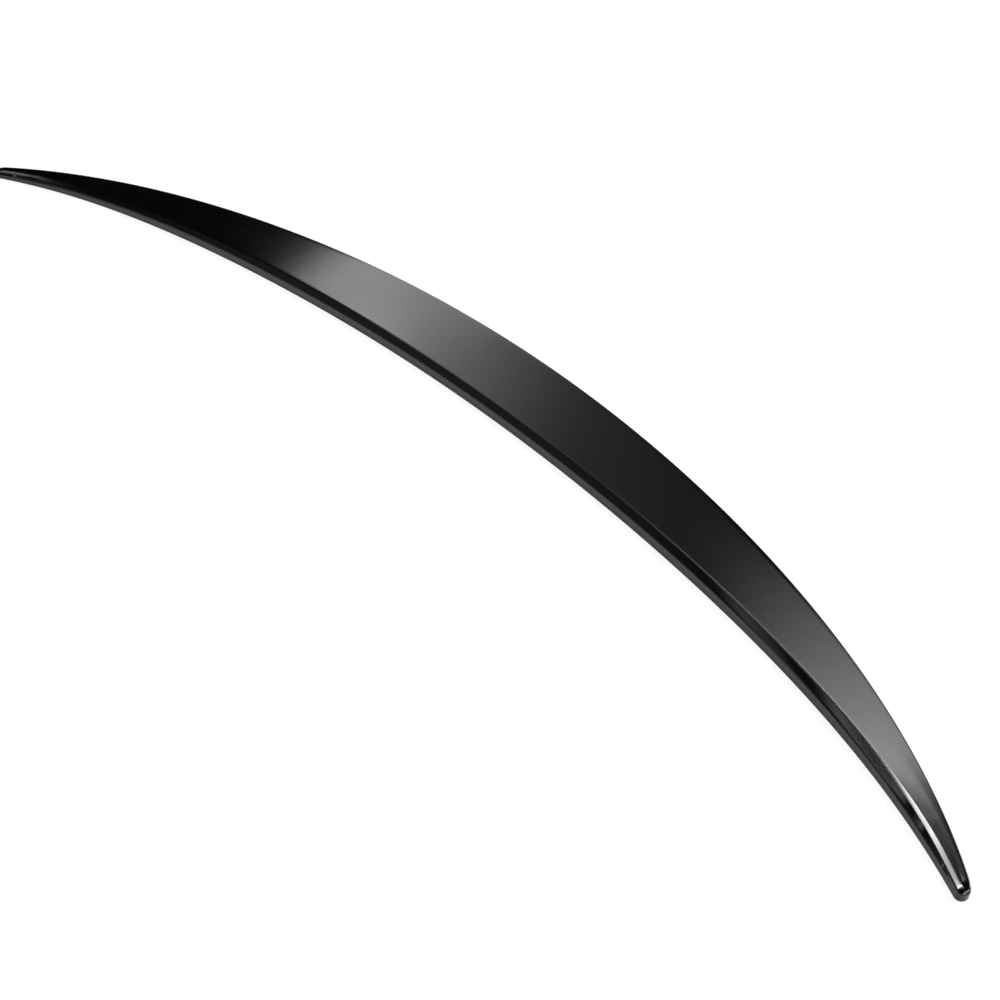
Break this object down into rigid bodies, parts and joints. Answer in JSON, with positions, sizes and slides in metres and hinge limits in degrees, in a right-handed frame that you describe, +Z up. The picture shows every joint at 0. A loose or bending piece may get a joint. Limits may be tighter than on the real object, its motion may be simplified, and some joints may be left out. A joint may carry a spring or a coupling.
{
  "type": "car rear spoiler",
  "caption": "Crescent-shaped lip spoiler with pointed tips, a raised trailing edge and a bevelled nose, gloss black, bonded to a boot lid.",
  "frame": {"origin": "on the bonding plane at mid-span, in the middle of the front bonding land", "axes": "+X across the car from tip to tip, +Y rearward towards the trailing edge, +Z up from the boot lid"},
  "size_m": [1.245, 0.1852, 0.0188],
  "materials": {
    "gloss_black": "high gloss moulded ABS, black"
  },
  "bodies": {
    "root": {"spoiler": "gloss_black"}
  },
  "joints": []
}
